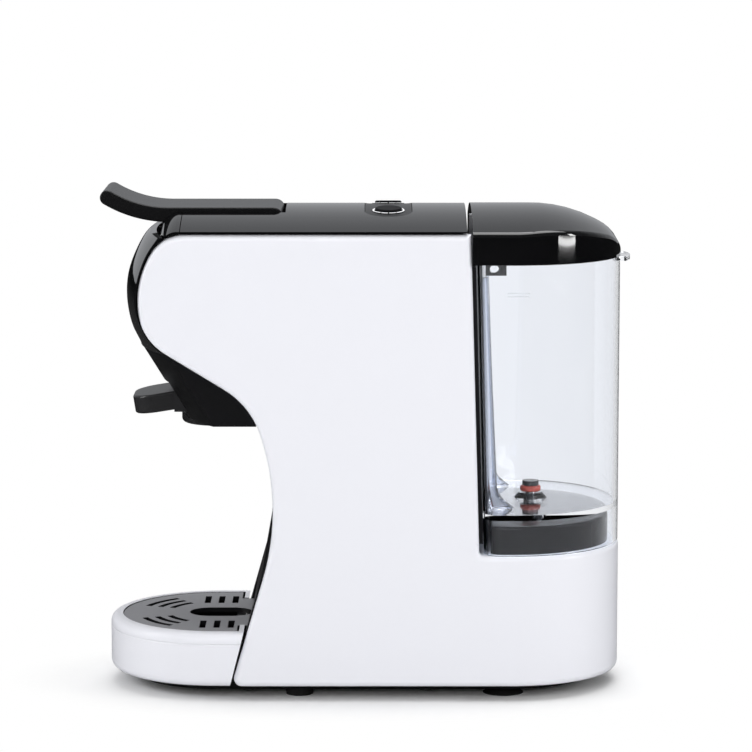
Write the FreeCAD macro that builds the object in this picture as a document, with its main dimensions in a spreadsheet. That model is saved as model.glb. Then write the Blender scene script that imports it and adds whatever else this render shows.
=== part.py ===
import FreeCAD, Part
import math
import os
import re

# Pod coffee machine. Millimetres, +Z up, z = 0 on the table, -X is the front (lever tip, pod holder
# and drip tray), +X is the rear (water tank), the width runs along Y and is symmetric about Y = 0.

V = FreeCAD.Vector
doc = FreeCAD.newDocument("pod_coffee_machine")
sheet = doc.addObject("Spreadsheet::Sheet", "dims")

# Driving dimensions
DIMENSIONS = {
    "half_width": 56,
    "wall": 2.5,
    "rim_depth": 6,
    "panel_bottom": 7.5,
    "panel_top": 235.5,
    "panel_rear": 51.75,
    "panel_round": 3,
    "rear_lean": 1.65,
    "head_start": -90,
    "head_top_radius": 19.4,
    "head_top_turn": 58,
    "head_front_radius": 46,
    "head_front_turn": 39,
    "chin_radius": 28,
    "chin_turn": 51.5,
    "chin_slope_length": 34,
    "neck_radius": 42,
    "neck_turn": 40.5,
    "waist_radius": 124,
    "waist_turn": 34.5,
    "toe_radius": 4,
    "shelf_radius": 2.2,
    "rear_centre": 73.1,
    "tray_centre": -75.7,
    "shelf_top": 74.25,
    "gap": 0.8,
    "crest": 245.4,
    "crown_radius": 190,
    "cover_front": -92,
    "cover_rear": 49.8,
    "cover_edge": 236.3,
    "trim_front": -102.5,
    "lever_half": 24,
    "lever_crest": 246.2,
    "lever_under": 238.7,
    "lever_bend": 57,
    "lever_bend_start": -99,
    "pivot_x": -46.9,
    "pivot_z": 241.2,
    "pivot_pin": 1.5,
    "crank_reach": 10,
    "crank_angle": 37.5,
    "crank_pin": 2,
    "well_half": 24.8,
    "well_rear": -40.6,
    "well_floor": 235,
    "brew_axis": -75.5,
    "piston_radius": 22.8,
    "bore_radius": 23,
    "rod_radius": 6,
    "running_gap": 0.05,
    "piston_face": 158.6,
    "cylinder_top": 205,
    "holder_half": 27,
    "holder_bottom": 143,
    "holder_top": 157.5,
    "holder_front": -97,
    "holder_rear": -49,
    "pod_radius": 22,
    "tab_front": -118,
    "tab_half": 18.5,
    "tab_thick": 9.4,
    "tab_tilt": 9,
    "chin_bottom": 139.3,
    "chin_top": 175.2,
    "chin_half": 52,
    "spout_bottom": 134.2,
    "spout_radius": 19,
    "base_bottom": 3.9,
    "base_inset": 12.5,
    "tray_top": 35,
    "tray_lean": 14.3,
    "tray_rear": -61.75,
    "grille_radius": 49.5,
    "grille_top": 34.5,
    "grille_thick": 2.4,
    "grille_rear": -65.4,
    "tongue_rear": -57.2,
    "tongue_half": 33.8,
    "inlay_x": 11,
    "inlay_half": 11.7,
    "inlay_reach": 33.5,
    "button_y": 18.8,
    "button_radius": 6.8,
    "button_rise": 1.2,
    "ring_radius": 8.2,
    "lid_front": 52.6,
    "lid_bottom": 220.5,
    "lid_crest": 245.7,
    "lid_fall_start": 82,
    "lid_crown": 168,
    "tank_top": 220.3,
    "tank_front_top": 54.9,
    "tank_front_foot": 58.8,
    "tank_wall": 2.2,
    "tank_radius": 55.7,
    "tank_corner": 8,
    "tank_floor": 94.8,
    "tank_floor_thick": 2.8,
    "tank_lip": 133.85,
    "valve_x": 84,
    "dock_top": 88.5,
    "dock_radius": 50.5,
    "dock_front": 61.8,
    "foot_x": 69.3,
    "foot_y": 32.5,
    "foot_radius": 10.3,
    "pad_x": -34.1,
    "pad_y": 35.9,
    "pad_radius": 6.8,
    "spine_x": -38,
    "sheet_thick": 3,
    "chassis_half": 46,
    "rack_z": 118,
    "pump_z": 38,
    "gland_z": 42,
    "hose_radius": 3,
}
for row, (alias, value) in enumerate(DIMENSIONS.items(), 1):
    sheet.set(f"A{row}", alias.replace("_", " "))
    sheet.set(f"B{row}", str(value))
    sheet.setAlias(f"B{row}", alias)
doc.recompute()


def dim(alias):
    """Value of one driving dimension, read from the sheet."""
    return float(sheet.get(alias))


def cells(text):
    """Expression on the sheet's cells from plain words such as half_width - wall."""
    return re.sub(r"[a-z_]{3,}", lambda word: "dims." + word.group(0)
                  if word.group(0) in DIMENSIONS else word.group(0), str(text))


# Part primitives and booleans
def place(shape, x, y, z):
    for axis, value in zip("xyz", (x, y, z)):
        shape.setExpression(f"Placement.Base.{axis}", cells(value))
    return shape


def box(name, low, high):
    block = doc.addObject("Part::Box", name)
    for size, start, end in zip(("Length", "Width", "Height"), low, high):
        block.setExpression(size, cells(f"({end}) - ({start})"))
    return place(block, *low)


TURNS = {"x": FreeCAD.Rotation(V(0, 1, 0), 90), "y": FreeCAD.Rotation(V(1, 0, 0), -90),
         "z": FreeCAD.Rotation()}


def rod(name, radius, start, length, axis="z"):
    cylinder = doc.addObject("Part::Cylinder", name)
    cylinder.Placement = FreeCAD.Placement(V(), TURNS[axis])
    cylinder.setExpression("Radius", cells(radius))
    cylinder.setExpression("Height", cells(length))
    return place(cylinder, *start)


def fuse(name, *shapes):
    joined = doc.addObject("Part::MultiFuse", name)
    joined.Shapes = list(shapes)
    joined.Refine = True
    return joined


def cut(name, base, *tools):
    left = doc.addObject("Part::Cut", name)
    left.Base = base
    left.Tool = tools[0] if len(tools) == 1 else fuse(name + "_tools", *tools)
    return left


def common(name, first, second):
    shared = doc.addObject("Part::Common", name)
    shared.Base = first
    shared.Tool = second
    return shared


def group(name, *shapes):
    """Several separate solids of one kind in one node."""
    together = doc.addObject("Part::Compound", name)
    together.Links = list(shapes)
    return together


def mirror(name, source):
    other = doc.addObject("Part::Mirroring", name)
    other.Source = source
    other.Normal = V(0, 1, 0)
    return other


def round_edges(name, base, radius, pick):
    """Part::Fillet on the edges that pick accepts."""
    doc.recompute()
    rounded = doc.addObject("Part::Fillet", name)
    rounded.Base = base
    size = dim(radius) if radius in DIMENSIONS else radius
    rounded.Edges = [(i, size, size) for i, e in enumerate(base.Shape.Edges, 1) if pick(e)]
    return rounded


def tilt(shape, degrees):
    """Turn a shape about the long axis of the crowned top."""
    centre = V(0, 0, dim("crest") - dim("crown_radius"))
    shape.Placement = FreeCAD.Placement(V(), FreeCAD.Rotation(V(1, 0, 0), degrees), centre)
    return shape


# PartDesign bodies
def new_body(name):
    return doc.addObject("PartDesign::Body", name)


def sketch(body, name, role, curves, offset="0"):
    """Sketch on an origin plane of its own body, moved along the plane's normal by offset."""
    drawing = body.newObject("Sketcher::SketchObject", name)
    plane = next(f for f in body.Origin.OriginFeatures if f.Role == role)
    drawing.AttachmentSupport = [(plane, "")]
    drawing.MapMode = "FlatFace"
    drawing.setExpression("AttachmentOffset.Base.z", cells(offset))
    for curve in curves:
        drawing.addGeometry(curve, False)
    return drawing


def pad(body, name, profile, length, symmetric=False, reverse=False):
    feature = body.newObject("PartDesign::Pad", name)
    feature.Profile = profile
    feature.setExpression("Length", cells(length))
    feature.Reversed = reverse
    if symmetric:
        feature.SideType = "Symmetric"
    return feature


def pocket(body, name, profile, length, symmetric=False, reverse=False):
    feature = body.newObject("PartDesign::Pocket", name)
    feature.Profile = profile
    feature.setExpression("Length", cells(length))
    feature.Reversed = reverse
    if symmetric:
        feature.SideType = "Symmetric"
    return feature


def loft(body, name, sections, subtract=False, ruled=False):
    kind = "PartDesign::SubtractiveLoft" if subtract else "PartDesign::AdditiveLoft"
    feature = body.newObject(kind, name)
    feature.Profile = sections[0]
    feature.Sections = sections[1:]
    feature.Ruled = ruled
    return feature


def extrude(name, role, curves, length, offset="0", symmetric=False, reverse=False):
    """A body that is one padded sketch."""
    body = new_body(name)
    profile = sketch(body, name + "_profile", role, curves, offset)
    pad(body, name + "_pad", profile, length, symmetric, reverse)
    return body


def revolve(name, curves, centre_z, angle):
    """A profile of the XZ plane turned both ways about a long axis at centre_z."""
    body = new_body(name)
    profile = sketch(body, name + "_profile", "XZ_Plane", curves)
    axis = profile.addGeometry(Part.LineSegment(V(-50, centre_z, 0), V(50, centre_z, 0)), True)
    turned = body.newObject("PartDesign::Revolution", name + "_turn")
    turned.Profile = profile
    turned.ReferenceAxis = (profile, ["Axis0"])
    turned.Angle = angle
    turned.Midplane = True
    return body


# Outlines
def polygon(*points):
    ends = [V(*p, 0) for p in points]
    return [Part.LineSegment(a, b) for a, b in zip(ends, ends[1:] + ends[:1])]


def circle(x, y, radius):
    return [Part.Circle(V(x, y, 0), V(0, 0, 1), radius)]


class Path:
    """A chain of lines and tangent arcs, walked with a heading in degrees."""

    def __init__(self, x, y, heading):
        self.at = V(x, y, 0)
        self.start = self.at
        self.heading = heading
        self.curves = []

    def direction(self):
        angle = math.radians(self.heading)
        return V(math.cos(angle), math.sin(angle), 0)

    def to(self, point):
        self.curves.append(Part.LineSegment(self.at, point))
        self.at = point
        return self

    def line(self, length):
        return self.to(self.at + self.direction() * length)

    def line_to_x(self, x):
        return self.line((x - self.at.x) / self.direction().x)

    def line_to_y(self, y):
        return self.line((y - self.at.y) / self.direction().y)

    def turn(self, radius, degrees):
        """Arc of a radius, to the left for positive degrees and to the right for negative."""
        side = math.copysign(1, degrees)
        normal = V(-self.direction().y, self.direction().x, 0) * side
        centre = self.at + normal * radius
        points = [self.at]
        for share in (0.5, 1):
            spin = FreeCAD.Rotation(V(0, 0, 1), degrees * share)
            points.append(centre + spin.multVec(self.at - centre))
        self.curves.append(Part.Arc(*points))
        self.at = points[-1]
        self.heading += degrees
        return self

    def close(self):
        return self.to(self.start).curves


def side_outline(inset):
    """Outline of a side shell in the XZ plane, moved inwards by inset."""
    path = Path(dim("panel_rear") - inset, dim("panel_top") - inset, 180)
    path.line_to_x(dim("head_start"))
    path.turn(dim("head_top_radius") - inset, dim("head_top_turn"))
    path.turn(dim("head_front_radius") - inset, dim("head_front_turn"))
    path.turn(dim("chin_radius") - inset, dim("chin_turn"))
    path.line(dim("chin_slope_length"))
    path.turn(dim("neck_radius") + inset, -dim("neck_turn"))
    path.turn(dim("waist_radius") + inset, -dim("waist_turn"))
    toe_turn = 360 - path.heading
    toe = max(dim("toe_radius") - inset, 0.8)
    path.line_to_y(dim("panel_bottom") + inset + toe * (1 - math.cos(math.radians(toe_turn))))
    path.turn(toe, toe_turn)
    path.line_to_x(dim("rear_centre") + dim("half_width") - inset)
    path.heading = 90
    path.line_to_y(dim("shelf_top") - inset)
    path.heading = 180
    lean = dim("rear_lean")
    drop = dim("panel_top") - dim("shelf_top")
    shelf_corner = dim("panel_rear") - inset + drop * math.tan(math.radians(lean))
    corner = dim("shelf_radius") + inset
    reach = corner * math.tan(math.radians((90 - lean) / 2))
    path.line_to_x(shelf_corner + reach)
    path.turn(corner, lean - 90)
    return path.close()


def rounded_end(centre, radius, square_end):
    """D outline in the XY plane: a half circle about centre and a straight end at square_end."""
    side = math.copysign(1, centre - square_end)
    tip = centre + side * radius
    return [Part.LineSegment(V(centre, radius, 0), V(square_end, radius, 0)),
            Part.LineSegment(V(square_end, radius, 0), V(square_end, -radius, 0)),
            Part.LineSegment(V(square_end, -radius, 0), V(centre, -radius, 0)),
            Part.Arc(V(centre, -radius, 0), V(tip, 0, 0), V(centre, radius, 0))]


def tank_plan(front, radius, corner):
    """D outline of the tank with rounded front corners."""
    centre = dim("rear_centre")
    path = Path(centre, radius, 180)
    path.line_to_x(front + corner)
    path.turn(corner, 90)
    path.line_to_y(corner - radius)
    path.turn(corner, 90)
    path.line_to_x(centre)
    path.curves.append(Part.Arc(path.at, V(centre + radius, 0, 0), V(centre, radius, 0)))
    return path.curves


def slot_plan(x, half, reach):
    """Oblong outline across the width, centred at x."""
    straight = reach - half
    return [Part.LineSegment(V(x - half, straight, 0), V(x - half, -straight, 0)),
            Part.Arc(V(x - half, -straight, 0), V(x, -reach, 0), V(x + half, -straight, 0)),
            Part.LineSegment(V(x + half, -straight, 0), V(x + half, straight, 0)),
            Part.Arc(V(x + half, straight, 0), V(x, reach, 0), V(x - half, straight, 0))]


half = dim("half_width")
wall = dim("wall")
rear = dim("rear_centre")
crown_centre = dim("crest") - dim("crown_radius")


# Side shells: a side wall with a rim, wrapped round the rear under the tank
def left_shell():
    block = extrude("shell_block", "XZ_Plane", side_outline(0), "half_width")
    plan = extrude("shell_plan", "XY_Plane", rounded_end(rear, half, -140), "panel_top + 10")
    outer = common("shell_outer", block, plan)

    def on_side(edge):
        ends = edge.BoundBox
        flat = abs(ends.YMin + half) < 0.01 and abs(ends.YMax + half) < 0.01
        seam = flat and ends.XLength < 0.01 and abs(ends.XMin - rear) < 0.01
        sweep = ends.ZLength < 0.01 and ends.YMin < 1 - half and ends.YMax > -1 and ends.XMin > rear - 1
        return (flat and not seam) or sweep

    smooth = round_edges("shell_smooth", outer, "panel_round", on_side)
    hollow = extrude("shell_hollow", "XZ_Plane", side_outline(wall), "half_width - wall")
    cavity = common("shell_cavity", hollow,
                    extrude("shell_inner_plan", "XY_Plane", rounded_end(rear, half - wall, -140),
                            "panel_top"))
    mouth = extrude("shell_mouth", "XZ_Plane",
                    polygon((-140, 0), (48, 0), (48, dim("shelf_top")), (62, dim("shelf_top")),
                            (62, 260), (-140, 260)), "half_width - rim_depth")
    belly = box("shell_belly", ("46", "wall - half_width", "0"),
                ("rear_centre", "1", "panel_bottom + wall + 1"))
    belly_end = rod("shell_belly_end", "half_width - wall", ("rear_centre", "0", "0"),
                    "panel_bottom + wall + 1")
    nipple = rod("shell_nipple_hole", "6.4", ("valve_x", "0", "shelf_top - 10"), "20")
    cord = rod("shell_gland_hole", "5.2", ("rear_centre + half_width - 10", "0", "gland_z"), "20", "x")
    return cut("left_shell", smooth, cavity, mouth, belly, belly_end, nipple, cord)


shell = left_shell()
right_shell = mirror("right_shell", shell)


def crowned(name, curves, angle=36):
    return revolve(name, curves, crown_centre, angle)


# Top cover: crowned sheet with a well for the lever and a hole for the controls
def top_cover():
    crest = dim("crest")
    front, back = dim("cover_front"), dim("cover_rear")
    skin = crowned("cover_skin", polygon((front, crest - wall), (back, crest - wall),
                                         (back, crest), (front, crest)))
    trimmed = common("cover_trimmed", skin,
                     box("cover_limit", ("cover_front - 1", "-half_width + 0.4", "cover_edge"),
                         ("cover_rear + 1", "half_width - 0.4", "crest + 5")))
    lips = []
    for side in (-1, 1):
        near, far = sorted((side * 47.2, side * 49.8))
        lips.append(box(f"cover_lip_{side + 1}", ("cover_front + 8", str(near), "229"),
                        ("cover_rear - 2", str(far), "237")))
    tub = box("cover_tub", ("cover_front", "-well_half - 2.4", "well_floor - 2"),
              ("well_rear + 2.4", "well_half + 2.4", "242.4"))
    solid = fuse("cover_solid", trimmed, *lips, tub)
    well = box("cover_well", ("cover_front - 1", "-well_half", "well_floor"),
               ("well_rear", "well_half", "crest + 5"))
    crank_slot = box("cover_crank_slot", ("brew_axis - 8", "-10", "well_floor - 5"),
                     ("well_rear - 1", "10", "crest"))
    controls = extrude("cover_controls", "XY_Plane",
                       slot_plan(dim("inlay_x"), dim("inlay_half") + 0.3, dim("inlay_reach") + 0.3),
                       "30", "230")
    axle = rod("cover_axle_hole", "pivot_pin + running_gap", ("pivot_x", "-27.2", "pivot_z"), "54.4", "y")
    return cut("top_cover", solid, well, crank_slot, controls, axle)


top_cover()


# Front trim: the two cheeks beside the lever, rounding down to the fascia
def front_trim():
    crest = dim("crest")
    back, front = dim("cover_front") - 0.4, dim("trim_front")
    curves = [Part.LineSegment(V(back, crest - 12, 0), V(back, crest, 0)),
              Part.LineSegment(V(back, crest, 0), V(back - 2, crest, 0)),
              Part.Arc(V(back - 2, crest, 0), V(front + 2.2, crest - 3, 0), V(front, crest - 9, 0)),
              Part.LineSegment(V(front, crest - 9, 0), V(front, crest - 12, 0)),
              Part.LineSegment(V(front, crest - 12, 0), V(back, crest - 12, 0))]
    block = crowned("trim_block", curves)
    limit = common("trim_limit", block,
                   box("trim_limit_box", ("-120", "-half_width + 0.4", "225"),
                       ("-80", "half_width - 0.4", "260")))
    path = box("trim_lever_path", ("-120", "-well_half", "well_floor"), ("-80", "well_half", "260"))
    lap = extrude("trim_lap", "XZ_Plane", side_outline(-dim("gap")), "200", symmetric=True)
    inside = box("trim_inside", ("-120", "-47", "225"), ("-80", "47", "well_floor - 2"))
    front_gap = box("trim_front_gap", ("-120", "-half_width - 1", "215"), ("-97", "half_width + 1", "234.8"))
    return cut("front_trim", limit, path, cut("trim_shell_lap", lap, box(
        "trim_core", ("-140", "-49.5", "0"), ("150", "49.5", "260"))), inside, front_gap)


front_trim()


# Front fascia: bowed band in front of the head
def fascia_section(body, name, z, centre, side, thick):
    reach = half - 0.8
    outer = Part.Arc(V(side, reach, 0), V(centre, 0, 0), V(side, -reach, 0))
    inner = Part.Arc(V(side + thick, -reach, 0), V(centre + thick, 0, 0), V(side + thick, reach, 0))
    curves = [outer, Part.LineSegment(V(side, -reach, 0), V(side + thick, -reach, 0)),
              inner, Part.LineSegment(V(side + thick, reach, 0), V(side, reach, 0))]
    return sketch(body, name, "XY_Plane", curves, str(z))


# Height, foremost point on the middle plane and at the sides
FASCIA_LEVELS = [(175.7, -114.9, -99.6), (184, -118.4, -108), (193, -120.8, -113), (203, -121.7, -114.9),
                 (213, -120.6, -113.4), (222, -117.4, -110.4), (229, -113.8, -106.6), (234, -109.4, -103)]


def front_fascia():
    body = new_body("fascia_band")
    sections = [fascia_section(body, f"fascia_level_{i}", z, centre, side, 3.0)
                for i, (z, centre, side) in enumerate(FASCIA_LEVELS)]
    loft(body, "fascia_loft", sections)
    lap = extrude("fascia_lap", "XZ_Plane", side_outline(-0.5), "200", symmetric=True)
    sides = cut("fascia_shell_lap", lap, box("fascia_core", ("-140", "-49.4", "0"), ("150", "49.4", "260")))
    return cut("front_fascia", body, sides)


front_fascia()


# Chin shroud: the sloping lower head that holds the pod holder and the spout
def chin_plan(body, name, z, centre, side, inset):
    reach = dim("chin_half") - inset
    back = -53 if inset == 0 else -40
    front_arc = Part.Arc(V(side + inset, reach, 0), V(centre + inset, 0, 0), V(side + inset, -reach, 0))
    curves = [front_arc, Part.LineSegment(V(side + inset, -reach, 0), V(back, -reach, 0)),
              Part.LineSegment(V(back, -reach, 0), V(back, reach, 0)),
              Part.LineSegment(V(back, reach, 0), V(side + inset, reach, 0))]
    return sketch(body, name, "XY_Plane", curves, str(z))


def chin_shroud():
    body = new_body("chin_body")
    low, high = dim("chin_bottom"), dim("chin_top")
    slope = 0.62
    top_centre, top_side = -114.4, -98.5
    drop = (high - low) * slope
    loft(body, "chin_outer", [
        chin_plan(body, "chin_top_plan", high, top_centre, top_side, 0),
        chin_plan(body, "chin_bottom_plan", low, top_centre + drop, top_side + drop, 0)], ruled=True)
    inner_low = low + 2.2
    inner_drop = (high + 1 - inner_low) * slope
    loft(body, "chin_inner", [
        chin_plan(body, "chin_inner_top", high + 1, top_centre - slope, top_side - slope, wall),
        chin_plan(body, "chin_inner_bottom", inner_low, top_centre - slope + inner_drop,
                  top_side - slope + inner_drop, wall)], subtract=True, ruled=True)
    lap = extrude("chin_lap", "XZ_Plane", side_outline(-0.5), "200", symmetric=True)
    sides = cut("chin_shell_lap", lap, box("chin_core", ("-140", "-49.4", "0"), ("150", "49.4", "260")))
    mouth = box("chin_mouth", ("-125", "-holder_half - 0.5", "holder_bottom - 0.5"),
                ("-70", "holder_half + 0.5", "holder_top + 0.6"))
    drain = rod("chin_drain", "14.3", ("brew_axis", "0", "chin_bottom - 2"), "8")
    return cut("chin_shroud", body, sides, mouth, drain)


chin_shroud()


# Spout ring under the chin, with two outlets
def spout():
    ring = rod("spout_ring", "spout_radius", ("brew_axis", "0", "spout_bottom"),
               "chin_bottom - spout_bottom")
    rounded = round_edges("spout_round", ring, 2.2,
                          lambda e: abs(e.BoundBox.ZMax - dim("spout_bottom")) < 0.01)
    neck = rod("spout_neck", "14", ("brew_axis", "0", "chin_bottom - 0.5"), "3.2")
    funnel = doc.addObject("Part::Cone", "spout_funnel")
    funnel.Radius1 = 4
    funnel.Radius2 = 12
    funnel.setExpression("Height", cells("chin_bottom - spout_bottom"))
    place(funnel, "brew_axis", "0", "spout_bottom + 3")
    outlets = [rod(f"spout_outlet_{i}", "2.2", (f"brew_axis + {dx}", "0", "spout_bottom - 1"), "12")
               for i, dx in enumerate((-5, 5))]
    return cut("spout", fuse("spout_solid", rounded, neck), funnel, *outlets)


spout()


# Front column panel and back panel between the shells
def front_panel():
    outer = [(-51.6, 141.0), (-47.2, 117), (-47.6, 92), (-52.9, 62), (-66.2, 15)]
    thick = 2.5
    points = [V(x, z, 0) for x, z in outer]
    back = [V(x + thick, z, 0) for x, z in outer]
    curves = [Part.Arc(points[0], points[1], points[2]), Part.LineSegment(points[2], points[3]),
              Part.LineSegment(points[3], points[4]), Part.LineSegment(points[4], back[4]),
              Part.LineSegment(back[4], back[3]), Part.LineSegment(back[3], back[2]),
              Part.Arc(back[2], back[1], back[0]), Part.LineSegment(back[0], points[0])]
    panel = extrude("panel_sheet", "XZ_Plane", curves, "2 * (half_width - rim_depth) - 0.6", symmetric=True)
    notch = box("panel_notch", ("-70", "-tongue_half - 0.6", "28"),
                ("tongue_rear + 0.6", "tongue_half + 0.6", "47.5"))
    return cut("front_panel", panel, notch)


front_panel()


def back_panel():
    lean = math.tan(math.radians(dim("rear_lean")))
    top, low = 219.2, dim("shelf_top") + 6
    top_x = dim("panel_rear") + (dim("panel_top") - top) * lean
    low_x = dim("panel_rear") + (dim("panel_top") - low) * lean
    thick = 2
    return extrude("back_panel", "XZ_Plane",
                   polygon((low_x, low), (low_x + thick, low), (top_x + thick, top), (top_x, top)),
                   "2 * half_width - 6", symmetric=True)


back_panel()


# Base plate with feet, pads and screws
def base_plate():
    inset = dim("base_inset")
    radius = half - inset
    front, back = dim("tray_centre"), dim("rear_centre")
    curves = [Part.LineSegment(V(front, radius, 0), V(back, radius, 0)),
              Part.Arc(V(back, radius, 0), V(back + radius, 0, 0), V(back, -radius, 0)),
              Part.LineSegment(V(back, -radius, 0), V(front, -radius, 0)),
              Part.Arc(V(front, -radius, 0), V(front - radius, 0, 0), V(front, radius, 0))]
    plate = extrude("base_slab", "XY_Plane", curves, "panel_bottom - base_bottom", "base_bottom")
    holes = [rod(f"base_hole_{i}", "1.8", (str(x), str(y), "base_bottom - 1"), "20")
             for i, (x, y) in enumerate(SCREWS)]
    sockets = [rod(f"base_socket_{i}", "5.4", ("foot_x", f"{side} * foot_y", "base_bottom - 1"),
                   "panel_bottom - base_bottom") for i, side in enumerate((-1, 1))]
    return cut("base_plate", plate, *holes, *sockets)


SCREWS = [(-60, -38), (-60, 38), (30, -38), (30, 38), (105, 0)]
base_plate()


def base_screws():
    screws = []
    for i, (x, y) in enumerate(SCREWS):
        head = rod(f"screw_head_{i}", "3", (str(x), str(y), "base_bottom - 1.4"), "1.4")
        shank = rod(f"screw_shank_{i}", "1.5", (str(x), str(y), "base_bottom - 0.2"),
                    "panel_bottom - base_bottom - 0.35")
        screws.append(fuse(f"screw_{i}", head, shank))
    return group("base_screws", *screws)


base_screws()


def suction_feet():
    feet = []
    for i, side in enumerate((-1, 1)):
        at = ("foot_x", f"{side} * foot_y")
        stem = rod(f"foot_stem_{i}", "5.3", (*at, "2"), "panel_bottom - 3.25")
        cup = doc.addObject("Part::Cone", f"foot_cup_{i}")
        cup.setExpression("Radius1", cells("foot_radius"))
        cup.Radius2 = 5.3
        cup.Height = 3.6
        place(cup, *at, "0")
        hollow = doc.addObject("Part::Cone", f"foot_hollow_{i}")
        hollow.setExpression("Radius1", cells("foot_radius - 1.2"))
        hollow.Radius2 = 3
        hollow.Height = 1.8
        place(hollow, *at, "-0.01")
        feet.append(cut(f"foot_{i}", fuse(f"foot_solid_{i}", stem, cup), hollow))
    return group("suction_feet", *feet)


suction_feet()
group("front_pads", *[rod(f"pad_{i}", "pad_radius", ("pad_x", f"{side} * pad_y", "0"), "base_bottom")
                      for i, side in enumerate((-1, 1))])


# Drip tray with its grille
def tray_cut(name, x):
    """Prism behind the leaning rear face of the tray."""
    lean = math.tan(math.radians(dim("tray_lean")))
    top, low = 40, 0
    ref = dim("tray_top")
    foot, head = x - (ref - low) * lean, x + (top - ref) * lean
    curves = polygon((foot, low), (60, low), (60, top), (head, top))
    return extrude(name, "XZ_Plane", curves, "150", symmetric=True)


def drip_tray():
    radius = half
    centre = dim("tray_centre")
    block = extrude("tray_block", "XY_Plane", rounded_end(centre, radius, -40), "tray_top - panel_bottom",
                    "panel_bottom")
    body = cut("tray_body", block, tray_cut("tray_rear_cut", dim("tray_rear")))

    def outer_rim(edge):
        ends = edge.BoundBox
        on_top = ends.ZLength < 0.01 and abs(ends.ZMax - dim("tray_top")) < 0.01
        on_foot = ends.ZLength < 0.01 and abs(ends.ZMax - dim("panel_bottom")) < 0.01
        outside = ends.YLength < 0.01 or ends.YLength > 80
        rear_edge = ends.XLength < 0.01
        return (on_top or on_foot) and outside and not rear_edge

    smooth = round_edges("tray_smooth", body, 4.2, outer_rim)
    seat = cut("tray_seat", extrude("tray_seat_block", "XY_Plane",
                                    rounded_end(centre, dim("grille_radius") + 0.4, -40), "20",
                                    "grille_top - grille_thick"),
               tray_cut("tray_seat_cut", dim("tray_rear") - 2.4))
    pan = cut("tray_pan", extrude("tray_pan_block", "XY_Plane",
                                  rounded_end(centre, dim("grille_radius") - 1.6, -40), "40",
                                  "panel_bottom + wall"),
              tray_cut("tray_pan_cut", dim("tray_rear") - 4.4))
    notch = box("tray_notch", ("grille_rear - 2", "-tongue_half - 0.5", "grille_top - grille_thick"),
                ("-40", "tongue_half + 0.5", "60"))
    return cut("drip_tray", smooth, seat, pan, notch)


drip_tray()


def drip_grille():
    centre = dim("tray_centre")
    slab = extrude("grille_slab", "XY_Plane", rounded_end(centre, dim("grille_radius"), dim("grille_rear")),
                   "grille_thick", "grille_top - grille_thick")
    window = extrude("grille_window", "XY_Plane", [
        Part.LineSegment(V(-80.7, 10.5, 0), V(-69.2, 10.5, 0)),
        Part.Arc(V(-69.2, 10.5, 0), V(-58.7, 0, 0), V(-69.2, -10.5, 0)),
        Part.LineSegment(V(-69.2, -10.5, 0), V(-80.7, -10.5, 0)),
        Part.Arc(V(-80.7, -10.5, 0), V(-91.2, 0, 0), V(-80.7, 10.5, 0))], "10", "28")
    slots = []
    for column, x in enumerate((-83.2, -76, -68.8)):
        for row, y in enumerate((-30.5, 30.5)):
            slots.append(box(f"grille_slot_{column}_{row}", (f"{x} - 1.6", f"{y} - 8.5", "28"),
                             (f"{x} + 1.6", f"{y} + 8.5", "40")))
    for ring, radius in enumerate((40.5, 33.8, 27)):
        for row, (start, end) in enumerate(((125, 159), (201, 235))):
            curve = []
            for r, first, last in ((radius + 1.6, start, end), (radius - 1.6, end, start)):
                points = [V(centre + r * math.cos(math.radians(a)), r * math.sin(math.radians(a)), 0)
                          for a in (first, (first + last) / 2, last)]
                curve.append(points)
            slots.append(extrude(f"grille_arc_{ring}_{row}", "XY_Plane", [
                Part.Arc(*curve[0]), Part.LineSegment(curve[0][2], curve[1][0]),
                Part.Arc(*curve[1]), Part.LineSegment(curve[1][2], curve[0][0])], "10", "28"))
    tongue = box("grille_tongue", ("grille_rear - 1", "-tongue_half", "grille_top - grille_thick"),
                 ("tongue_rear", "tongue_half", "grille_top"))
    return cut("drip_grille", fuse("grille_plate", slab, tongue), window, *slots)


drip_grille()


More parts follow.
